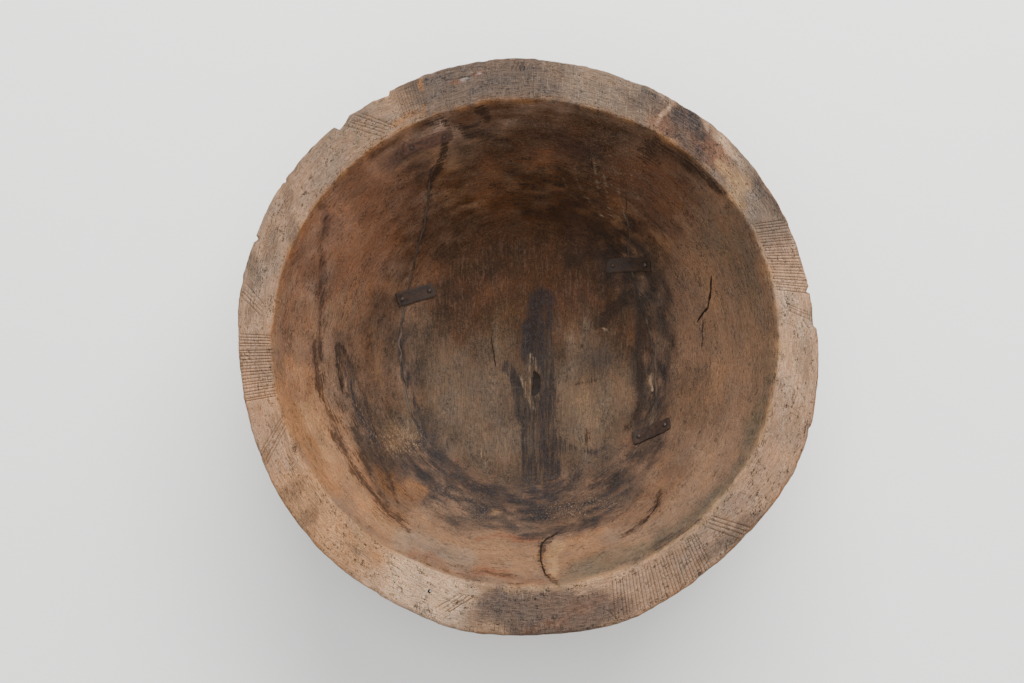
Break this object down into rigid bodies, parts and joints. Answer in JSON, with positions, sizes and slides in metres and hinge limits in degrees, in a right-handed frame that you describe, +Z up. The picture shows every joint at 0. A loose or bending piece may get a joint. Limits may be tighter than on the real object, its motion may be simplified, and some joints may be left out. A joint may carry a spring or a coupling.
{
  "type": "carved wooden bowl",
  "caption": "Round carved wooden bowl with a broad flat rim, bands of fine knife cuts, a hanging hole, and iron straps nailed across cracks that are sealed with pitch.",
  "frame": {"origin": "middle of the flat base the bowl stands on", "axes": "+Z up out of the mouth, +Y along the grain of the wood towards the side of the rim opposite the hanging hole, +X to the right of it when looking into the bowl"},
  "size_m": [0.5, 0.5, 0.146],
  "materials": {
    "wood": "satin",
    "strap_iron": "matte",
    "nail_iron": "satin",
    "pitch": "matte"
  },
  "bodies": {
    "root": {"bowl": "wood", "strap_upper_left": "strap_iron", "strap_left": "strap_iron", "strap_right": "strap_iron", "strap_lower_right": "strap_iron", "nail_upper_left_a": "nail_iron", "nail_upper_left_b": "nail_iron", "nail_left_a": "nail_iron", "nail_left_b": "nail_iron", "nail_right_a": "nail_iron", "nail_right_b": "nail_iron", "nail_lower_right_a": "nail_iron", "nail_lower_right_b": "nail_iron", "pitch_left_crack": "pitch", "pitch_right_crack": "pitch"}
  },
  "joints": []
}
